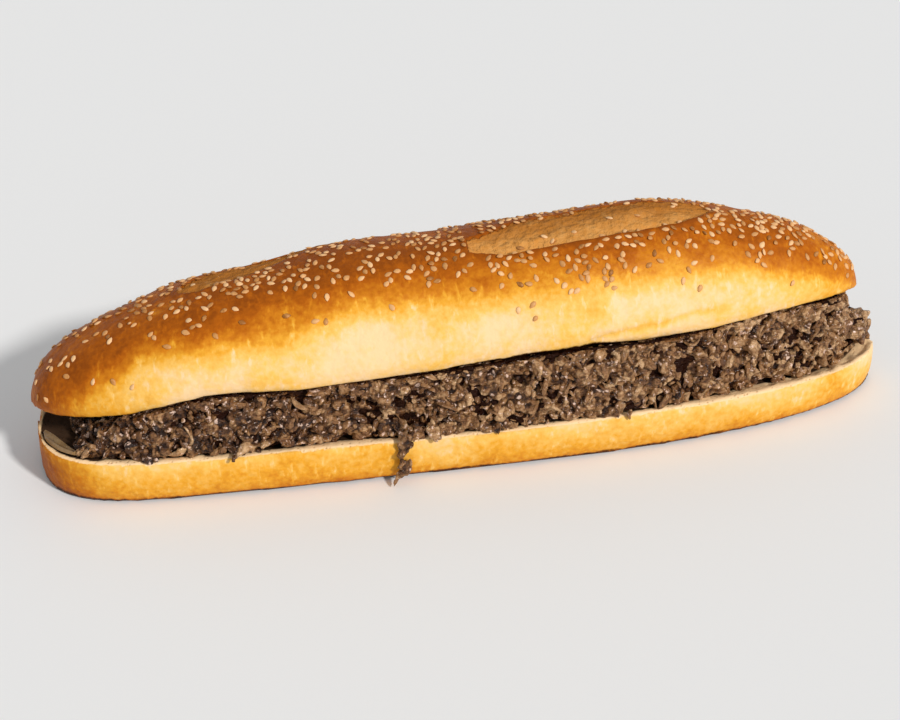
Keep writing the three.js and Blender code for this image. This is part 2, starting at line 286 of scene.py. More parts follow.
def finished(name, mesh, node):
    """Makes a piece of a mesh in place of a node of the frame."""
    piece = bpy.data.objects.new(name, mesh)
    bpy.context.scene.collection.objects.link(piece)
    mesh.shade_smooth()
    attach(piece, "root")
    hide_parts(node)
    return piece


def mesh_of(name, bm):
    mesh = bpy.data.meshes.new(name)
    bm.to_mesh(mesh)
    bm.free()
    return mesh


def paint(mesh, fields):
    """Keeps named values at the mesh's points for its material to read."""
    for name, values in fields.items():
        kind, slot = ("FLOAT", "value") if np.ndim(values) == 1 else ("FLOAT_VECTOR", "vector")
        layer = mesh.attributes.new(name, kind, "POINT")
        layer.data.foreach_set(slot, np.asarray(values, np.float32).ravel())


def cell_pick(cell, count):
    """Scattered numbers below count, a power of two, the same each time for the same cell."""
    mixed_up = cell[:, 0] * 73856093 ^ cell[:, 1] * 19349663 ^ cell[:, 2] * 83492791
    return mixed_up & (count - 1)


def clouds(spots, size, octaves, start):
    """Cloudy noise from about -1 to 1 at many places, in lumps of the given size."""
    slopes = np.random.default_rng(start).normal(size=(SLOPE_COUNT, 3))
    slopes /= np.linalg.norm(slopes, axis=1)[:, None]
    total = np.zeros(len(spots))
    for octave in range(octaves):
        place = spots / size * 2**octave + 31.7 * octave + 7.3
        cell = np.floor(place).astype(np.int64)
        into = place - cell
        blend = into**3 * (into * (into * 6 - 15) + 10)
        for corner in np.ndindex(2, 2, 2):
            slope = slopes[cell_pick(cell + corner, SLOPE_COUNT)]
            rise = ((into - corner) * slope).sum(1)
            total += rise * np.where(corner, blend, 1 - blend).prod(1) * 1.7 / 2**octave
    return total


def crevices(spots, size, start):
    """Distance into round cells of the given size: 0 on their borders, about 1 in the middle."""
    offsets = np.random.default_rng(start).random((OFFSET_COUNT, 3))
    cell = np.floor(spots / size).astype(np.int64)
    near = np.full(len(spots), 9.0)
    second = np.full(len(spots), 9.0)
    for corner in np.ndindex(3, 3, 3):
        at = cell + corner - 1
        apart = np.linalg.norm(at + offsets[cell_pick(at, OFFSET_COUNT)] - spots / size, axis=1)
        second = np.minimum(second, np.maximum(apart, near))
        near = np.minimum(near, apart)
    return np.clip((second - near) * 1.6, 0, 1)


def tube(bm, steps, place):
    """A closed skin: a grid rolled into a tube by a formula, its seam and both ends closed."""
    made = bmesh.ops.create_grid(bm, x_segments=steps[0], y_segments=steps[1], size=1)
    verts = made["verts"]
    spots = np.array([vert.co[:2] for vert in verts])
    for vert, spot in zip(verts, place(spots[:, 0], spots[:, 1]) * MM):
        vert.co = spot
    bmesh.ops.remove_doubles(bm, verts=verts, dist=1e-6)
    open_edges = [edge for edge in bm.edges if edge.is_boundary]
    bmesh.ops.holes_fill(bm, edges=open_edges, sides=0)
    bm.normal_update()
    bmesh.ops.recalc_face_normals(bm, faces=bm.faces)
    if bm.calc_volume(signed=True) < 0:
        bmesh.ops.reverse_faces(bm, faces=bm.faces)
    return bm


def crown_place(a, b):
    """Over the crust from back to front, then back along the cut face."""
    x = station(CROWN, a)
    over = b < 0.3
    turn = np.where(over, math.pi * (1 - (b + 1) / 1.3), 0)
    y = crown_cut_half(x) * np.clip(-1 + 2 * (b - 0.3) / 0.7, -1, 1)
    cut = seated(x, y, crown_hollow(x, y))
    return np.where(over[:, None], crust_point(x, turn), cut)


def heel_place(a, b):
    """Down the back, under the base, up the front, then back along the dished cut face."""
    x = station(HEEL, a)
    wide = heel_half(x)
    base = np.maximum(wide - BASE_INSET, wide * 0.4)
    rim = wide - np.minimum(0.9, wide * 0.05)
    way = (b + 1) / 2
    level = np.interp(way, (0, 0.2, 0.4, 0.6), (1, 0, 0, 1))
    swell = 1 - (1 - np.clip(level / 0.88, 0, 1)) ** 3.2
    side_y = base + (wide - base) * swell + (rim - wide) * ease(0.88, 1, level)
    side_y = side_y * np.where(way < 0.3, 1, -1)
    under_y = base * np.clip(1 - 2 * (way - 0.2) / 0.2, -1, 1)
    cut_y = rim * np.clip(-1 + 2 * (way - 0.6) / 0.4, -1, 1)
    under = (way >= 0.2) & (way < 0.4)
    cut = way >= 0.6
    y = np.where(under, under_y, np.where(cut, cut_y, side_y))
    z = np.where(cut, floor_at(x, cut_y), level * heel_top(x))
    return np.stack([x, y, z], -1)


def hinge_place(a, b):
    """The uncut strip of bread along the back, with a fold at half its height."""
    x = HINGE["from"] + (a + 1) / 2 * (HINGE["to"] - HINGE["from"])
    outer = np.minimum(heel_half(x), crown_half(x)) - HINGE["inset"]
    low = heel_top(x) - 7
    high = ceiling_at(x, outer) + 7
    corner_y = (-HINGE["thickness"], 0, -1.5, 0, -HINGE["thickness"], -HINGE["thickness"])
    corner_z = (0, 0, 0.5, 1, 1, 0)
    way = (b + 1) / 2 * 5
    y = outer + np.interp(way, range(6), corner_y)
    z = low + (high - low) * np.interp(way, range(6), corner_z)
    return np.stack([x, y, z], -1)


def remeshed(bm, voxel):
    """One skin round all closed shells of a bmesh, on a grid of small cubes."""
    rough = mesh_of("rough", bm)
    carrier = bpy.data.objects.new("rough", rough)
    bpy.context.scene.collection.objects.link(carrier)
    grid = carrier.modifiers.new("grid", "REMESH")
    grid.mode = "VOXEL"
    grid.voxel_size = voxel * MM
    whole = bmesh.new()
    whole.from_object(carrier, bpy.context.evaluated_depsgraph_get())
    bpy.data.objects.remove(carrier)
    bpy.data.meshes.remove(rough)
    return whole


def smoothed(bm, verts, times):
    every_way = {"use_axis_x": True, "use_axis_y": True, "use_axis_z": True}
    for _ in range(times):
        bmesh.ops.smooth_vert(bm, verts=verts, factor=0.5, **every_way)


def bread_shape():
    """Heel, crown and hinge as one skin, its fold and its cut edges rubbed round."""
    bm = bmesh.new()
    tube(bm, CROWN_GRID, crown_place)
    tube(bm, HEEL_GRID, heel_place)
    tube(bm, HINGE_GRID, hinge_place)
    bm = remeshed(bm, BREAD_VOXEL)
    smoothed(bm, [v for v in bm.verts if v.co.y > 24 * MM and 14 * MM < v.co.z < 44 * MM], 6)
    smoothed(bm, list(bm.verts), 1)
    return bm


def spots_of(bm):
    return np.array([vert.co for vert in bm.verts]) / MM


def pushed(bm, steps):
    """Moves each point of a skin out along its normal by so many millimetres."""
    bm.normal_update()
    for vert, step in zip(bm.verts, steps * MM):
        vert.co += vert.normal * step


def crown_turn(x, y, z):
    """Where a place lies in the crown's section: its turn in degrees, its Y and its height."""
    across, up = unseated(x, y, z)
    half = np.maximum(crown_half(x), 1)
    height = np.maximum(crown_height(x), 1)
    inward = np.minimum(CROWN_TUCK * np.clip(1 - up / 9, 0, 1) ** 2, half * 0.3)
    side = bulge(np.clip(-(across + np.sign(across) * inward) / half, -1.5, 1.5), 2 / 1.15)
    rise = np.maximum(up / height, 0) ** 1.1
    return np.degrees(np.arctan2(rise, side)), across, up


def plan_depth(half, x, y):
    """How far inside a half's outline in plan a place lies."""
    slope = half(x + 0.5) - half(x - 0.5)
    return (half(x) - np.abs(y)) / np.sqrt(1 + slope**2)


def torn_slash(x, turn):
    """Millimetres inside the baker's two slashes, where the crust is tan, rough and bare."""
    low = np.interp(x, (-2, 12, 40, 66, 82, 90, 97), (66, 59, 58.5, 60, 63, 69, 78))
    high = np.interp(x, (-2, 20, 60, 97), (76, 90, 93, 90))
    first = np.minimum(turn - low, high - turn) * CRUST_PER_DEGREE
    low = np.interp(x, (-112, -104, -60, -34), (84, 78, 96, 100))
    high = np.interp(x, (-112, -104, -60, -34), (88, 100, 116, 112))
    second = np.minimum(turn - low, high - turn) * CRUST_PER_DEGREE
    first = np.minimum(first, np.minimum(x + 1, 98 - x))
    second = np.minimum(second, np.minimum(x + 112, -34 - x))
    return np.clip(np.maximum(first, second), -4, 4)


def crease_distance(x, turn):
    """Millimetres above the crease low on the crown's front, and how marked it is, 0 to 1."""
    line = np.interp(x, (38, 50, 70, 97), (0.5, 3.5, 6.5, 9.5))
    away = (turn - line) * CRUST_PER_DEGREE
    ends = ease(36, 44, x) * ease(104, 92, x)
    return np.where(ends > 0, away, 4), ends


def browning_and_shade(x, turn, y, z, on_crown):
    """How brown the crust is, from 0 pale to 1 dark: browner up the crown and at both ends, the left end
    partly as painted shade.
    """
    # Towards the left tip the crown is browner, in part as painted shade, as that end faces away from
    # the key light.
    ends = (-168, -157, -146, -128, -108, -85, -62, -30, 30, 55, 75, 95, 108, 122, 140, 156)
    early = np.interp(x, ends, (52, 34, 12, -3, 5, 4, -3, 0, 1, 7, 5, 3, 5, 12, 16, 26))
    tops = (-160, -146, -126, -105, -85, 60, 95, 120, 150)
    darkest = np.interp(x, tops, (0.97, 0.88, 0.82, 0.84, 0.97, 0.95, 0.88, 0.77, 0.7))
    sides = (-168, -150, -135, -120, 20, 60, 118, 138, 156)
    palest = np.interp(x, sides, (0.8, 0.45, 0.24, 0.08, 0.03, 0.13, 0.13, 0.27, 0.42))
    rise = (0, 17, 22, 27, 32, 37, 42, 47, 52, 57, 62, 75, 100)
    browning = (0.06, 0.04, 0.09, 0.17, 0.31, 0.49, 0.62, 0.71, 0.8, 0.87, 0.92, 0.95, 0.92)
    front = np.interp(turn + early, rise, browning)
    back = np.interp(180 - turn + early, (0, 15, 35, 60, 80), (0.3, 0.32, 0.5, 0.78, 0.9))
    crown = np.clip(np.where(turn < 92, front, back), palest, darkest)
    level = z / np.maximum(heel_top(x), 1)
    heel = np.interp(level, (0, 0.05, 0.14, 0.35, 0.6, 0.95), (1, 0.72, 0.46, 0.36, 0.27, 0.16))
    # The heel's left end is darker, in part as painted shade.
    heel = heel + 0.56 * ease(-142, -170, x) + 0.14 * ease(0, 30, y)
    return np.where(on_crown, crown, heel)


def make_bread():
    bm = bread_shape()
    spots = spots_of(bm)
    x, y, z = spots.T
    turn, across, up = crown_turn(x, y, z)
    on_crown = up > -1.2
    cut_face = np.where(on_crown, up < crown_hollow(x, across) + 1.1, z > floor_at(x, y) - 1.1)
    crown_depth = plan_depth(crown_cut_half, x, across) - 0.7
    heel_depth = plan_depth(heel_half, x, y) + 0.5
    depth = np.where(on_crown, crown_depth, heel_depth)
    between = ~on_crown & (z > heel_top(x) + 1)
    uncut = (y > 0) & (x > HINGE["from"] - 1) & (x < HINGE["to"] + 1)
    hinge_skin = np.minimum(heel_half(x), crown_half(x)) - HINGE["inset"]
    depth = np.where(uncut, hinge_skin - y - 2.5, depth)
    inward = np.where(cut_face | between, np.clip(depth, 0, 6), 0)
    crumb = ease(1, 2.2, inward)
    crust = 1 - crumb
    soft = clouds(spots, SWELL["size"], octaves=2, start=1)
    dents = clouds(spots, DENTS["size"], octaves=2, start=2)
    torn = clouds(spots, TORN_CRUMB["size"], octaves=3, start=3)
    slash = np.where(on_crown, torn_slash(x, turn), -4)
    inside_slash = ease(-0.6, 0.9, slash)
    lip = np.exp(-(((slash + 1.1) / 0.9) ** 2)) * np.where(turn < 80, 1, 0.3)
    away, creased = crease_distance(x, turn + 0.9 * dents)
    crease = np.where(on_crown, np.exp(-((away / 1.1) ** 2)) * creased, 0)
    below = np.where(on_crown, ease(0, -2.5, away) * creased, 0)
    old = np.where(on_crown, slash_depth(x, np.radians(turn)), 0)
    lift = crust * (SWELL["height"] * soft + DENTS["height"] * dents)
    lift = lift + ease(1.5, 4, inward) * TORN_CRUMB["height"] * torn
    sunk = inside_slash * (1.9 - 1.3 * ease(60, 90, turn))
    ridged = clouds(spots * np.array([0.3, 1, 1]), 4.5, octaves=2, start=9)
    lift = lift + crust * (old * 0.85 - sunk + 0.5 * lip + (0.3 * torn + 0.7 * ridged) * inside_slash)
    lift = lift + crust * (0.4 * below - 0.7 * crease)
    pushed(bm, np.where(z < 1, 0, lift))
    bake_and_shade = browning_and_shade(x, turn, y, z, on_crown) + SWELL["shade"] * soft + DENTS["shade"] * dents
    # Painted shadow under the slash's overhanging front lip, whose crust is dark too, and painted shade
    # along the crease low on the crown's front.
    bake_and_shade = bake_and_shade + 0.22 * np.exp(-(((slash + 1.2) / 1.1) ** 2)) * (turn < 90) + 0.14 * crease
    edge = np.interp(x, (-45, -10, 20, 50, 62), (0.2, 1.0, 1.8, 1.4, 0.2))
    toasted = ease(-45, -20, x) * ease(62, 50, x) * ease(edge, edge * 0.2, turn)
    char = np.where(on_crown, toasted, 0.8 * ease(2.7, 1.1, z))
    tree = BVHTree.FromBMesh(bm)
    mesh = mesh_of("bread", bm)
    fade = ease(56, 92, turn)
    # Painted shade on the crumb: dark under the filling from just behind its front, deep in the left
    # end's hollow and over the crown's cut face.
    front, back = beef_sides(np.clip(x, BEEF["left"] + 1, BEEF["right"] - 1))
    under_beef = ease(1, 3.5, y - front) * ease(BEEF["left"] - 4, BEEF["left"], x)
    unshaded_shelf = np.where(x > 0, ease(1, 4, y - back), 0)
    under_beef = under_beef * (1 - unshaded_shelf) * ease(BEEF["right"] + 2, BEEF["right"] - 2, x)
    crumb_shade = np.maximum(under_beef, ease(2, 4, inward) * ease(-140, -150, x))
    crumb_shade = np.where(on_crown, ease(1, 3, inward), crumb_shade)
    fields = {"inward": inward, "bake_and_shade": np.clip(bake_and_shade, 0, 1), "slash": slash}
    paint(mesh, {**fields, "fade": fade, "char": char, "crumb_shade": crumb_shade})
    return finished("bread", mesh, "sesame_roll"), tree


def seed_share(x, turn):
    """How thickly the seeds lie, from 0 to 1, on the crown's front, top and back."""
    rise = (16, 28, 36, 46, 56, 80)
    left = np.interp(turn, rise, (0, 0.01, 0.03, 0.1, 0.55, 1))
    right = np.interp(turn, rise, (0, 0.16, 0.6, 1, 1, 1))
    front = left + (right - left) * ease(-10, 20, x)
    back = np.interp(180 - turn, (24, 45, 70, 90), (0, 0.25, 0.75, 1))
    tip = np.interp(x, (-172, -140, -112), (0.16, 0.24, 1))
    tip = tip + 0.5 * ease(-112, -130, x) * ease(60, 80, turn)
    low_tip = 0.1 * ease(-112, -135, x) * ease(14, 26, turn)
    bare = ease(-0.2, 0.8, torn_slash(x, turn)) * 0.95
    return np.maximum(np.minimum(front, back) * tip, low_tip) * (1 - bare)


def seed_shape():
    """One sesame seed a unit long and wide: a flat drop, narrower at one end."""
    bm = bmesh.new()
    bmesh.ops.create_uvsphere(bm, u_segments=8, v_segments=6, radius=0.5)
    for vert in bm.verts:
        narrow = 1 - 0.8 * max(vert.co.x + 0.05, 0)
        vert.co.y *= narrow
        vert.co.z *= narrow
    return parts_of(bm)


def parts_of(bm):
    """Points and three-sided faces of a small shape, as arrays."""
    bmesh.ops.triangulate(bm, faces=bm.faces)
    bmesh.ops.recalc_face_normals(bm, faces=bm.faces)
    bm.verts.index_update()
    points = np.array([vert.co for vert in bm.verts])
    faces = np.array([[vert.index for vert in face.verts] for face in bm.faces])
    bm.free()
    return points, faces


def joined(name, points, faces, fields):
    """One mesh of many copies: points by copy, faces of one copy, and a value per point."""
    count, size = points.shape[:2]
    every = (faces[None] + np.arange(count)[:, None, None] * size).reshape(-1, 3)
    mesh = bpy.data.meshes.new(name)
    mesh.from_pydata(points.reshape(-1, 3) * MM, [], every)
    paint(mesh, {key: values.reshape(-1, *values.shape[2:]) for key, values in fields.items()})
    return mesh


def make_seeds(tree):
    draw = np.random.default_rng(21)
    x = draw.uniform(CROWN["left"] + 3, CROWN["right"] - 3, SEED_TRIES)
    turn = draw.uniform(16, 158, SEED_TRIES)
    unrolled = np.stack([x, turn * CRUST_PER_DEGREE, 0 * x], -1)
    clump = 0.55 + 1.1 * clouds(unrolled, SEED_CLUMP, octaves=2, start=5)
    kept = draw.random(SEED_TRIES) < seed_share(x, turn) * np.clip(clump, 0, 1) * 0.5
    outside = crust_point(x[kept], np.radians(turn[kept]))
    taken, spots, turned = [], [], []
    for spot in outside:
        hit, normal, _, _ = tree.find_nearest(Vector(spot) * MM)
        near = any((hit - other).length < SEED["apart"] * MM for other in taken)
        if near or len(taken) >= SEED_COUNT:
            continue
        taken.append(hit)
        spin = Matrix.Rotation(draw.uniform(0, math.tau), 3, "Z")
        lean = Matrix.Rotation(draw.normal(0, 0.2), 3, "X")
        turned.append(normal.to_track_quat("Z", "X").to_matrix() @ lean @ spin)
        spots.append(hit / MM + normal * SEED["proud"])
    points, faces = seed_shape()
    count = len(spots)
    sizes = np.array([SEED["length"], SEED["width"], SEED["height"]])
    sizes = sizes * draw.normal(1, 0.07, (count, 1, 3))
    placed = np.einsum("nij,nvj->nvi", np.array(turned), points * sizes) + np.array(spots)[:, None]
    tone = np.repeat(draw.random(count)[:, None], len(points), 1)
    mesh = joined("sesame_seeds", placed, faces, {"tone": tone})
    return finished("sesame_seeds", mesh, "sesame_roll")


def beef_sides(x):
    """Front and back of the filling."""
    wide = heel_half(x)
    u = share(BEEF, x)
    rounding = np.sqrt(np.clip(1 - np.abs(u) ** BEEF["rounding"], 0, 1))
    skin = np.minimum(wide, crown_half(np.minimum(x, HINGE["to"])))
    behind = skin - HINGE["inset"] - HINGE["thickness"]
    return -(wide - along(BEEF_INSET, x / HALF_SPAN)) * rounding, (behind - BEEF["gap"]) * rounding


def beef_top(x, y):
    """The filling fills the gap, slopes down to the left and rounds off past the crown's tip."""
    fall = np.clip((x - BEEF["right"] + BEEF_SLOPE["length"]) / BEEF_SLOPE["length"], 0, 1)
    free = heel_top(x) + BEEF_SLOPE["height"] * np.sqrt(np.clip(1 - fall**3, 0, 1)) + 2
    roof = np.minimum(free, np.where(x < CROWN["right"], ceiling_at(x, y), 1e3)) - BEEF["gap"]
    fill = ease(BEEF["left"] - 8, BEEF["left"] + 34, x)
    low = np.minimum(floor_at(x, y) + BEEF_LOW + 4 * fill, roof)
    return low + (roof - low) * fill


def beef_place(a, b):
    """Along the bottom from front to back, back along the top, and down the front."""
    x = station(BEEF, a)
    front, back = beef_sides(x)
    way = (b + 1) / 2
    across = np.interp(way, (0, 0.22, 0.44, 1), (0, 1, 0, 0))
    flat_y = front + (back - front) * across
    over = flat_y + BEEF["lean"] * (1 - across)
    bottom = floor_at(x, flat_y) + BEEF["gap"]
    top = np.maximum(beef_top(x, over), floor_at(x, over) + BEEF["gap"] + 1)
    fall = np.clip((way - 0.44) / 0.56, 0, 1)
    face_y = over - BEEF["lean"] * fall - 0.8 * np.sin(math.pi * fall)
    face_z = top + (bottom - top) * fall
    low = way < 0.22
    high = (way >= 0.22) & (way < 0.44)
    y = np.where(low, flat_y, np.where(high, over, face_y))
    z = np.where(low, bottom, np.where(high, top, face_z))
    return np.stack([x, y, z], -1)


def kept_between(spots, centre, rise):
    """Keeps bits of the filling off the heel, whose rim they may hang over, and under the crown."""
    x, y, z = spots[..., 0], spots[..., 1], spots[..., 2]
    half = heel_half(x)
    hanging = (np.abs(centre[..., 1]) > heel_half(centre[..., 0]) - 0.6) & (z < heel_top(x) + rise)
    y = np.where(hanging, np.sign(y) * np.maximum(np.abs(y), half + rise), y)
    low = np.where(np.abs(y) < half, floor_at(x, y) + rise, -1e3)
    under = (x < CROWN["right"] - 1) & (np.abs(y) < crown_half(x))
    high = np.where(under, ceiling_at(x, y) - BEEF_TOP_GAP, 1e3)
    return np.stack([x, y, np.maximum(np.minimum(z, high), low)], -1)


def grid_places(first, second):
    """Every pair of two rows of values, as two long rows."""
    return (grid.ravel() for grid in np.meshgrid(first, second))


def shred_places():
    """Places over the outer face of the shred that hangs over the heel's rim."""
    way, across = grid_places(np.linspace(0, 1, 26), np.linspace(-0.5, 0.5, 9))
    width = np.interp(way, (0, 1), (SHRED["top_width"], SHRED["low_width"]))
    x = SHRED["x"] - 2.2 * way + across * width
    steps = (0, 0.25, 0.4, 0.7, 1)
    y = np.interp(way, steps, (6, 1.5, -1.2, -1.6, -1.4)) - heel_half(x)
    z = np.interp(way, steps, (5, 3.4, 0.8, -6, -SHRED["drop"])) + heel_top(x)
    lean = np.interp(way, (0, 0.4), (0.6, 0))
    normals = np.stack([0 * x, lean - 1, lean], -1)
    return np.stack([x, y, z], -1), normals, np.full(len(x), 1 / len(x))


def right_end(x):
    """1 at the filling's right end, which is smoother and drawn in, and 0 elsewhere."""
    return ease(END["from"], END["to"], x)


def make_beef_core():
    """The heap's body, painted near black as shade between the bits, and the places on its open faces
    where the bits lie.
    """
    bm = tube(bmesh.new(), BEEF_GRID, beef_place)
    spots = spots_of(bm)
    x, y, z = spots.T
    waves = clouds(spots, CORE["wave"], octaves=2, start=7)
    lumps = crevices(spots, CORE["lump"], start=6) * CORE["lump_height"] + CORE["wave_height"] * waves
    pushed(bm, lumps - CORE["set_back"] - END["set_back"] * right_end(x))
    drawn_in = END_CORNER["back"] * ease(-8, 14, y) * ease(132, 160, x)
    drawn_in = drawn_in + END_CORNER["top"] * ease(30, 48, z) * right_end(x)
    for vert, step in zip(bm.verts, drawn_in * MM):
        vert.co.x -= step
    faces = [face for face in bm.faces if open_to_view(face.calc_center_median() / MM, face.normal)]
    found = zip(*(places_on(face) for face in faces))
    middles, normals, areas = (np.concatenate(part) for part in found)
    patches = clouds(middles, BEEF_PATCH, octaves=2, start=8)
    areas = areas * np.clip(0.75 + 0.6 * patches, 0.5, 1.2)
    areas = areas * (1 + END["more_bits"] * right_end(middles[:, 0]))
    for hollow_x, hollow_z, reach in BEEF_HOLLOWS:
        away = np.hypot(middles[:, 0] - hollow_x, middles[:, 2] - hollow_z)
        areas = areas * (0.04 + 0.96 * ease(reach * 0.7, reach * 1.2, away))
    mesh = mesh_of("beef_core", bm)
    # Tone below zero: the core is painted near black, as shade in the gaps between the bits.
    paint(mesh, {"tone": 0.14 * lumps - 0.22, "grain": spots})
    core = finished("beef_core", mesh, "chopped_beef")
    return core, spilled((middles, normals, areas / areas.sum()), SPILLED_SHARE)


def places_on(face):
    """One place in the middle of a face, or many on a large end face, with normals and areas."""
    middle = np.array(face.calc_center_median())[None] / MM
    spots = middle
    if len(face.verts) > 4:
        ring = np.array([vert.co for vert in face.verts]) / MM
        rings = (0.3, 0.6, 0.6, 0.9, 0.9, 0.9)
        spots = np.concatenate([middle + part * (ring - middle) for part in rings])
    areas = np.full(len(spots), face.calc_area() / len(spots))
    return spots, np.tile(np.array(face.normal), (len(spots), 1)), areas


def open_to_view(middle, normal):
    """Whether a bit of the filling's skin can be seen from some side."""
    x = middle.x
    ends = x < HINGE["from"] + 6 or x > HINGE["to"]
    return normal.z > -0.6 and (normal.y < -0.3 or ends)


def spilled(places, share_of_all):
    """Adds places low down just inside the filling's left end, where a few bits have slid."""
    middles, normals, shares = places
    across, along_it = grid_places(np.linspace(-1, 0.1, 24), np.linspace(0, 1, 14))
    x = BEEF["left"] + 8 - 9 * along_it
    y = across * (heel_half(x) - 6)
    spots = np.stack([x, y, floor_at(x, y) + 1.5 + 3 * (1 - along_it)], -1)
    upright = np.tile((0.0, 0.0, 1.0), (len(spots), 1))
    added = np.full(len(spots), share_of_all / len(spots))
    shares = np.concatenate([shares * (1 - share_of_all), added])
    return np.concatenate([middles, spots]), np.concatenate([normals, upright]), shares


def ball_shape():
    bm = bmesh.new()
    bmesh.ops.create_icosphere(bm, subdivisions=2, radius=1)
    return parts_of(bm)


def spins(draw, count, hang):
    """Turns as matrices: every direction, or hanging down within a swing."""
    w, x, y, z = draw.normal(size=(count, 4)).T
    if hang:
        w, x, y, z = 1 + hang * w, hang * x, 1 + hang * y, hang * z
    long = np.sqrt(w * w + x * x + y * y + z * z)
    w, x, y, z = w / long, x / long, y / long, z / long
    rows = [
        [1 - 2 * (y * y + z * z), 2 * (x * y - z * w), 2 * (x * z + y * w)],
        [2 * (x * y + z * w), 1 - 2 * (x * x + z * z), 2 * (y * z - x * w)],
        [2 * (x * z - y * w), 2 * (y * z + x * w), 1 - 2 * (x * x + y * y)],
    ]
    return np.array(rows).transpose(2, 0, 1)


def beef_bits(places, bit, start):
    """One kind of beef bit, torn and folded, strewn over the filling's open faces."""
    draw = np.random.default_rng(start)
    middles, normals, shares = places
    count = bit["count"]
    pick = draw.choice(len(middles), count, p=shares)
    size = draw.uniform(*bit["size"], (count, 1))
    for i, (x, z, large, _) in enumerate(bit["standouts"]):
        away = np.hypot(middles[:, 0] - x, middles[:, 2] - z) + 1e3 * (middles[:, 1] > 0)
        pick[i] = np.argmin(away)
        size[i] = large
    at_end = right_end(middles[pick, :1])
    size = size * (1 - 0.15 * at_end)
    out = draw.uniform(*bit["out"], (count, 1)) * size - END["bits_back"] * at_end
    centre = middles[pick] + normals[pick] * out
    ball, faces = ball_shape()
    drift = draw.uniform(-400, 400, (count, 1, 3))
    local = (ball[None] * 0.9 + drift).reshape(-1, 3)
    rough = bit["rough"] * (1 - 0.5 * at_end[:, None])
    rough = 1 + rough * clouds(local, 1.3, octaves=1, start=start).reshape(count, -1, 1)
    spread = draw.uniform(0.75, 1.25, (count, 1, 3)) * np.array(bit["stretch"])
    shape = ball[None] * spread * rough
    fold = draw.uniform(-1, 1, (count, 1)) * bit["fold"]
    shape[..., 2] += fold * (shape[..., 0] ** 2 - 0.4)
    shape[..., 1] += 0.5 * fold * shape[..., 0] ** 2
    turned = np.einsum("nij,nvj->nvi", spins(draw, count, bit.get("hang")), shape * size[:, None])
    placed = kept_between(turned + centre[:, None], centre[:, None], BEEF_CLEARANCE)
    tone = np.clip(draw.normal(*bit["tone"], (count, 1)), 0.1, 0.9)
    tone = np.where(draw.random((count, 1)) < 0.01, 0.95, tone)
    # Painted shade: bits darker towards the left, under the crown's overhang, and a little lighter at
    # the right end.
    left_shade_stops = (-150, -90, -20, 60, 150)
    tone = tone + np.interp(centre[:, :1], left_shade_stops, (-0.26, -0.18, -0.02, 0.01, 0.08))
    for i, (_, _, _, shade) in enumerate(bit["standouts"]):
        tone[i] = shade
    grain = ball[None] * size[:, None] * spread + drift
    return placed, faces, {"tone": np.repeat(tone, len(ball), 1), "grain": grain}


def make_beef(name, places, bit, start):
    """One kind of beef bit, each bit a skin of its own."""
    mesh = joined(name, *beef_bits(places, bit, start))
    return finished(name, mesh, "chopped_beef")


def make_beef_mass(name, places, bit, start):
    """Lumps pressed into one torn skin, with painted shade darkening its folds."""
    placed, faces, fields = beef_bits(places, bit, start)
    lumps = joined("lumps", placed, faces, {})
    bm = bmesh.new()
    bm.from_mesh(lumps)
    bpy.data.meshes.remove(lumps)
    bm = remeshed(bm, MASS["voxel"])
    spots = spots_of(bm)
    waves = MASS["wave_height"] * clouds(spots, MASS["wave"], octaves=2, start=11)
    torn = waves - MASS["crack_depth"] * (1 - crevices(spots, MASS["crack"], start=12))
    pushed(bm, torn * (1 - 0.6 * right_end(spots[:, 0])))
    spots = spots_of(bm)
    spots = kept_between(spots, spots, BEEF_CLEARANCE)
    bm.normal_update()
    outward = np.array([vert.normal for vert in bm.verts])
    smoothed(bm, list(bm.verts), FOLD["smoothing"])
    folds = ((spots_of(bm) - spots) * outward).sum(1)
    for vert, spot in zip(bm.verts, spots * MM):
        vert.co = spot
    centres = placed.mean(1)
    nearby = KDTree(len(centres))
    for i, centre in enumerate(centres):
        nearby.insert(centre, i)
    nearby.balance()
    owner = np.array([nearby.find(spot)[1] for spot in spots])
    mesh = mesh_of(name, bm)
    # Painted shade: the tone falls where the skin folds in.
    tone = fields["tone"][owner, 0] - FOLD["shade"] * np.clip(folds, -0.3, 0.8)
    paint(mesh, {"tone": np.clip(tone, 0, 1.05), "grain": spots + fields["grain"][owner, 0]})
    return finished(name, mesh, "chopped_beef")


def group(name, inputs, outputs):
    """An empty shader group with its sockets, and its two end nodes."""
    tree = bpy.data.node_groups.new(name, "ShaderNodeTree")
    for label, value in inputs:
        socket = tree.interface.new_socket(label, in_out="INPUT", socket_type="NodeSocketFloat")
        socket.default_value = value
    for label, kind in outputs:
        tree.interface.new_socket(label, in_out="OUTPUT", socket_type=kind)
    return tree, tree.nodes.new("NodeGroupInput"), tree.nodes.new("NodeGroupOutput")


def linked(tree, kind, values=(), **links):
    """A node with its values set and its inputs linked, by name or as i0, i1 by number."""
    node = tree.nodes.new(kind)
    for name, value in values:
        setattr(node, name, value)
    for name, source in links.items():
        numbered = name[0] == "i" and name[1:].isdigit()
        socket = node.inputs[int(name[1:]) if numbered else name]
        if isinstance(source, bpy.types.NodeSocket):
            tree.links.new(source, socket)
        else:
            socket.default_value = source
    return node


def maths(tree, operation, first, second=0.0, clamp=False):
    values = (("operation", operation), ("use_clamp", clamp))
    return linked(tree, "ShaderNodeMath", values, i0=first, i1=second).outputs[0]


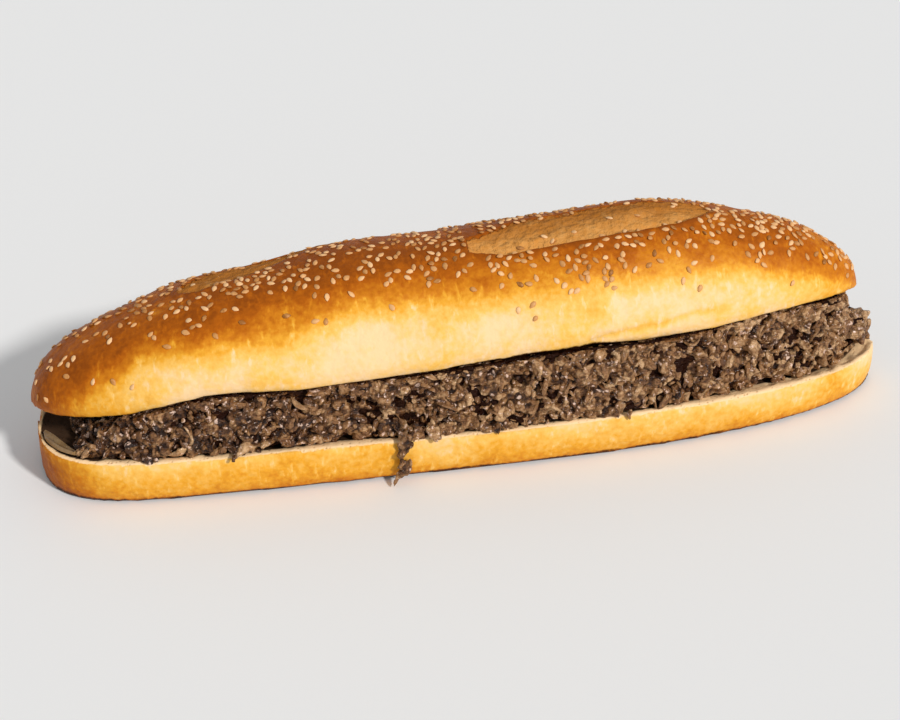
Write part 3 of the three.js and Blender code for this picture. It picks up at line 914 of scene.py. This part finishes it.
def mottle_group():
    """Cloudy blotches of one size in millimetres, from 0 to 1."""
    tree, start, end = group(
        "mottle", (("Size", 5), ("Detail", 4), ("Contrast", 1.5)), (("Value", "NodeSocketFloat"),)
    )
    where = tree.nodes.new("ShaderNodeTexCoord").outputs["Object"]
    scale = maths(tree, "DIVIDE", 1000.0, start.outputs["Size"])
    cloud = linked(tree, "ShaderNodeTexNoise", Vector=where, Scale=scale, Detail=start.outputs["Detail"])
    centred = maths(tree, "SUBTRACT", cloud.outputs["Fac"], 0.5)
    spread = maths(tree, "MULTIPLY", centred, start.outputs["Contrast"])
    tree.links.new(maths(tree, "ADD", spread, 0.5, clamp=True), end.inputs["Value"])
    return tree


def pores_group():
    """Small holes of one size in millimetres: 1 between them, falling to 0 inside."""
    tree, start, end = group("pores", (("Size", 1.5), ("Width", 0.5)), (("Value", "NodeSocketFloat"),))
    where = tree.nodes.new("ShaderNodeTexCoord").outputs["Object"]
    scale = maths(tree, "DIVIDE", 1000.0, start.outputs["Size"])
    cells = linked(tree, "ShaderNodeTexVoronoi", Vector=where, Scale=scale)
    rise = maths(tree, "DIVIDE", cells.outputs["Distance"], start.outputs["Width"], clamp=True)
    tree.links.new(rise, end.inputs["Value"])
    return tree


def streaks_group():
    """Sparse thin upright ticks, one size apart: 1 on a tick, 0 between."""
    tree, start, end = group("streaks", (("Size", 4),), (("Value", "NodeSocketFloat"),))
    where = tree.nodes.new("ShaderNodeTexCoord").outputs["Object"]
    upright = linked(tree, "ShaderNodeVectorMath", (("operation", "MULTIPLY"),), i0=where)
    upright.inputs[1].default_value = (1, 0.4, 0.4)
    scale = maths(tree, "DIVIDE", 1600.0, start.outputs["Size"])
    cloud = linked(tree, "ShaderNodeTexNoise", Vector=upright.outputs[0], Scale=scale, Detail=3.0)
    tick = linked(tree, "ShaderNodeMapRange", Value=cloud.outputs["Fac"])
    tick.inputs["From Min"].default_value = 0.58
    tick.inputs["From Max"].default_value = 0.72
    tree.links.new(tick.outputs["Result"], end.inputs["Value"])
    return tree


def placed_group(tree, shared, **values):
    """What a shared group gives with these values."""
    node = tree.nodes.new("ShaderNodeGroup")
    node.node_tree = shared
    for name, value in values.items():
        node.inputs[name].default_value = value
    return node.outputs["Value"]


def stored(tree, name):
    """A value kept at the mesh's points."""
    return linked(tree, "ShaderNodeAttribute", (("attribute_name", name),)).outputs["Fac"]


def ramp(tree, value, stops):
    node = linked(tree, "ShaderNodeValToRGB", i0=value)
    band = node.color_ramp
    while len(band.elements) < len(stops):
        band.elements.new(0.5)
    for element, (place, colour) in zip(band.elements, stops):
        element.position = place
        element.color = (*colour, 1)
    return node.outputs["Color"]


def mixed(tree, factor, first, second):
    """The first colour at factor 0 and the second at factor 1."""
    node = tree.nodes.new("ShaderNodeMix")
    node.data_type = "RGBA"
    sockets = (node.inputs[0], node.inputs[6], node.inputs[7])
    for socket, source in zip(sockets, (factor, first, second)):
        if isinstance(source, bpy.types.NodeSocket):
            tree.links.new(source, socket)
        elif isinstance(source, tuple):
            socket.default_value = (*source, 1)
        else:
            socket.default_value = source
    return node.outputs[2]


def bumped(tree, height, distance, strength=1.0, under=None):
    node = linked(tree, "ShaderNodeBump", Height=height, Distance=distance * MM, Strength=strength)
    if under is not None:
        tree.links.new(under, node.inputs["Normal"])
    return node.outputs["Normal"]


def new_material(name):
    material = bpy.data.materials.new(name)
    material.use_nodes = True
    tree = material.node_tree
    return material, tree, tree.nodes["Principled BSDF"]


# Colours as linear light: the crust from pale to dark, then the crumb, and the rest.
PALE = (0.87, 0.60, 0.32)
STRAW = (0.86, 0.50, 0.115)
GOLD = (0.78, 0.36, 0.03)
AMBER = (0.61, 0.205, 0.010)
BROWN = (0.42, 0.104, 0.004)
DARK = (0.27, 0.062, 0.003)
CRUMB = (0.95, 0.66, 0.37)
# The crumb is painted darker in its pores, as painted shade in the holes.
PORE = (0.80, 0.46, 0.19)
# Near-black painted shade for the crumb in the cavity between the halves.
CAVITY_SHADE = (0.024, 0.007, 0.003)
SLASH = (0.40, 0.155, 0.033)
SLASH_PALE = (0.76, 0.38, 0.11)
CHAR = (0.045, 0.012, 0.003)
# Pale specks painted on the wet beef as glints.
GLINT_SPECK = (0.85, 0.60, 0.47)


def swung(tree, value, amount):
    """A mask from 0 to 1 as a swing to both sides of 0."""
    return maths(tree, "MULTIPLY", maths(tree, "SUBTRACT", value, 0.5), amount)


def stepped(tree, value, low, high):
    """0 below low, 1 above high, and smooth between them."""
    node = linked(tree, "ShaderNodeMapRange", (("interpolation_type", "SMOOTHSTEP"),), Value=value)
    node.inputs["From Min"].default_value = low
    node.inputs["From Max"].default_value = high
    return node.outputs["Result"]


def bread_finish(mottle, pores, streaks):
    """Baked crust, pale low down and brown on top, with cream crumb where it was cut and painted shade
    on the crumb in the cavity.
    """
    material, tree, shader = new_material("baked_bread")
    blotch = placed_group(tree, mottle, Size=11.0, Detail=5.0, Contrast=1.7)
    speck = placed_group(tree, mottle, Size=2.2, Detail=4.0, Contrast=2.2)
    bake_and_shade = stored(tree, "bake_and_shade")
    uneven = maths(tree, "ADD", swung(tree, blotch, 0.24), swung(tree, speck, 0.22))
    streak = placed_group(tree, streaks, Size=4.0)
    uneven = maths(tree, "SUBTRACT", uneven, maths(tree, "MULTIPLY", streak, 0.2))
    lively = maths(tree, "ADD", maths(tree, "MULTIPLY", bake_and_shade, 1.8), 0.42, clamp=True)
    bake_and_shade = maths(tree, "ADD", bake_and_shade, maths(tree, "MULTIPLY", uneven, lively), clamp=True)
    stops = ((0.0, PALE), (0.17, STRAW), (0.36, GOLD), (0.56, AMBER), (0.8, BROWN), (1.0, DARK))
    crust = ramp(tree, bake_and_shade, stops)
    inside = maths(tree, "ADD", stored(tree, "slash"), swung(tree, speck, 1.6))
    inside = stepped(tree, inside, -0.2, 0.6)
    fade = maths(tree, "ADD", stored(tree, "fade"), swung(tree, blotch, 0.55))
    rough_patch = mixed(tree, stepped(tree, fade, 0.0, 1.0), SLASH_PALE, SLASH)
    ridges = placed_group(tree, streaks, Size=7.0)
    rough_patch = mixed(tree, maths(tree, "MULTIPLY", speck, 0.5), rough_patch, AMBER)
    rough_patch = mixed(tree, maths(tree, "MULTIPLY", ridges, 0.45), rough_patch, SLASH_PALE)
    crust = mixed(tree, maths(tree, "MULTIPLY", inside, 0.9), crust, rough_patch)
    charred = maths(tree, "ADD", stored(tree, "char"), swung(tree, speck, 0.5))
    crust = mixed(tree, stepped(tree, charred, 0.25, 0.9), crust, CHAR)
    holes = placed_group(tree, pores, Size=1.8, Width=0.3)
    # Painted shade: the crumb darker inside its pores.
    crumb = mixed(tree, holes, PORE, CRUMB)
    # Painted shade: the crumb goes near black where the crown and the filling shade it.
    shaded_crumb = maths(tree, "ADD", stored(tree, "crumb_shade"), swung(tree, blotch, 0.5))
    crumb = mixed(tree, maths(tree, "MULTIPLY", stepped(tree, shaded_crumb, 0.3, 0.9), 0.97), crumb, CAVITY_SHADE)
    inner = maths(tree, "ADD", stored(tree, "inward"), swung(tree, speck, 0.8))
    inner = stepped(tree, inner, 0.9, 1.6)
    tree.links.new(mixed(tree, inner, crust, crumb), shader.inputs["Base Color"])
    skin = bumped(tree, placed_group(tree, mottle, Size=2.6, Detail=6.0, Contrast=2.0), 0.22)
    dip = maths(tree, "MULTIPLY", maths(tree, "SUBTRACT", holes, 1.0), inner)
    skin = bumped(tree, dip, 0.3, under=skin)
    torn = placed_group(tree, mottle, Size=3.0, Detail=7.0, Contrast=2.6)
    skin = bumped(tree, maths(tree, "MULTIPLY", torn, inside), 0.8, under=skin)
    tree.links.new(skin, shader.inputs["Normal"])
    matt = maths(tree, "MAXIMUM", inner, inside)
    roughness = maths(tree, "ADD", maths(tree, "MULTIPLY", matt, 0.36), 0.46)
    tree.links.new(roughness, shader.inputs["Roughness"])
    shader.inputs["Specular IOR Level"].default_value = 0.07
    return material


def seed_finish(mottle):
    """Sesame from cream to toasted brown."""
    material, tree, shader = new_material("toasted_seed")
    shade = placed_group(tree, mottle, Size=1.4, Detail=2.0, Contrast=1.5)
    tone = maths(tree, "ADD", stored(tree, "tone"), swung(tree, shade, 0.35), clamp=True)
    stops = (
        (0.0, (0.30, 0.11, 0.02)),
        (0.16, (0.50, 0.22, 0.06)),
        (0.6, (0.70, 0.37, 0.145)),
        (1.0, (0.82, 0.51, 0.255)),
    )
    tree.links.new(ramp(tree, tone, stops), shader.inputs["Base Color"])
    shader.inputs["Roughness"].default_value = 0.46
    shader.inputs["Specular IOR Level"].default_value = 0.25
    return material


def beef_finish(name, mottle, gloss, glint_amount):
    """Moist grey-brown cooked beef with a grain that follows each bit, pale specks painted as glints and
    near-black lows painted as shade.
    """
    material, tree, shader = new_material(name)
    grain = linked(tree, "ShaderNodeAttribute", (("attribute_name", "grain"),)).outputs["Vector"]
    lengthened = linked(tree, "ShaderNodeVectorMath", (("operation", "MULTIPLY"),), i0=grain)
    lengthened.inputs[1].default_value = (0.35, 1.2, 1.2)
    fibres = linked(tree, "ShaderNodeTexNoise", Vector=lengthened.outputs[0], Scale=1.0, Detail=4.0)
    fibres = stepped(tree, fibres.outputs["Fac"], 0.3, 0.72)
    cloud = placed_group(tree, mottle, Size=4.5, Detail=5.0, Contrast=2.0)
    tone = maths(tree, "ADD", stored(tree, "tone"), swung(tree, cloud, 0.36))
    tone = maths(tree, "ADD", tone, swung(tree, fibres, 0.3), clamp=True)
    # The darkest stops carry the painted shade of the core and of the folds.
    stops = (
        (0.0, (0.018, 0.004, 0.001)),
        (0.3, (0.12, 0.044, 0.011)),
        (0.6, (0.30, 0.143, 0.052)),
        (1.0, (0.58, 0.355, 0.18)),
    )
    flesh = ramp(tree, tone, stops)
    # Painted highlights: tiny pale specks that stand in for glints on the wet meat.
    glint_spots = stepped(tree, placed_group(tree, mottle, Size=2.0, Detail=3.0, Contrast=2.8), 0.82, 0.93)
    flesh = mixed(tree, maths(tree, "MULTIPLY", glint_spots, glint_amount), flesh, GLINT_SPECK)
    tree.links.new(flesh, shader.inputs["Base Color"])
    fine = placed_group(tree, mottle, Size=1.3, Detail=3.0, Contrast=2.6)
    skin = bumped(tree, fibres, 0.2)
    skin = bumped(tree, fine, 0.5, under=skin)
    tree.links.new(skin, shader.inputs["Normal"])
    beads = stepped(tree, placed_group(tree, mottle, Size=2.2, Detail=3.0, Contrast=2.4), 0.45, 0.62)
    roughness = maths(tree, "SUBTRACT", 0.62, maths(tree, "MULTIPLY", beads, 0.46))
    tree.links.new(roughness, shader.inputs["Roughness"])
    shader.inputs["Specular IOR Level"].default_value = gloss
    return material


def slice_finish(mottle):
    material, tree, shader = new_material("pale_slice")
    cloud = placed_group(tree, mottle, Size=4.0, Detail=4.0)
    stops = ((0.0, (0.16, 0.085, 0.03)), (0.6, (0.30, 0.18, 0.075)), (1.0, (0.42, 0.28, 0.13)))
    tree.links.new(ramp(tree, cloud, stops), shader.inputs["Base Color"])
    tree.links.new(bumped(tree, cloud, 0.5), shader.inputs["Normal"])
    shader.inputs["Roughness"].default_value = 0.42
    return material


def make_stage():
    """A plain pale floor, one key light from the front right and an even pale sky."""
    bm = bmesh.new()
    bmesh.ops.create_grid(bm, x_segments=1, y_segments=1, size=4)
    floor = bpy.data.objects.new("floor", mesh_of("floor", bm))
    bpy.context.scene.collection.objects.link(floor)
    floor.location.z = -0.0002
    material, _, shader = new_material("pale_floor")
    shader.inputs["Base Color"].default_value = (0.83, 0.83, 0.83, 1)
    shader.inputs["Roughness"].default_value = 0.85
    floor.data.materials.append(material)
    world = bpy.data.worlds.new("studio")
    world.use_nodes = True
    sky = world.node_tree.nodes["Background"]
    sky.inputs["Color"].default_value = (0.97, 0.985, 1, 1)
    sky.inputs["Strength"].default_value = 0.5
    bpy.context.scene.world = world
    key = bpy.data.lights.new("key", "SUN")
    key.energy = 2.6
    key.angle = math.radians(6)
    key.color = (1, 0.985, 0.96)
    lamp = bpy.data.objects.new("key", key)
    bpy.context.scene.collection.objects.link(lamp)
    lamp.rotation_euler = Vector((-0.44, 0.71, -0.56)).to_track_quat("-Z", "Y").to_euler()
    bpy.context.scene.view_settings.view_transform = "Standard"


CAMERA_AT = Vector((-131.6, -632.0, 447.5)) * MM
CAMERA_AIM = Vector((-4.7, 14.0, 20.0)) * MM
CAMERA_LENS = 77.24


def make_camera():
    camera = bpy.data.cameras.new("camera")
    camera.lens = CAMERA_LENS
    camera.sensor_width = 36
    camera.clip_start = 0.01
    holder = bpy.data.objects.new("camera", camera)
    bpy.context.scene.collection.objects.link(holder)
    holder.location = CAMERA_AT
    holder.rotation_euler = (CAMERA_AIM - CAMERA_AT).to_track_quat("-Z", "Y").to_euler()
    bpy.context.scene.camera = holder


def dress(piece, material):
    piece.data.materials.clear()
    piece.data.materials.append(material)


mottle = mottle_group()
pores = pores_group()
bread, crust_tree = make_bread()
dress(bread, bread_finish(mottle, pores, streaks_group()))
dress(make_seeds(crust_tree), seed_finish(mottle))
meat = beef_finish("cooked_beef", mottle, 0.5, 0.8)
core, open_places = make_beef_core()
dress(core, beef_finish("deep_beef_shade", mottle, 0.1, 0))
dress(make_beef_mass("beef_mass", open_places, LUMPS, 3), meat)
dress(make_beef("beef_flakes", open_places, FLAKES, 4), meat)
dress(make_beef("beef_crumbs", open_places, CRUMBS, 5), meat)
dress(make_beef_mass("beef_shred", shred_places(), SHRED_BITS, 8), meat)
dress(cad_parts["pale_slice"], slice_finish(mottle))
make_stage()
make_camera()
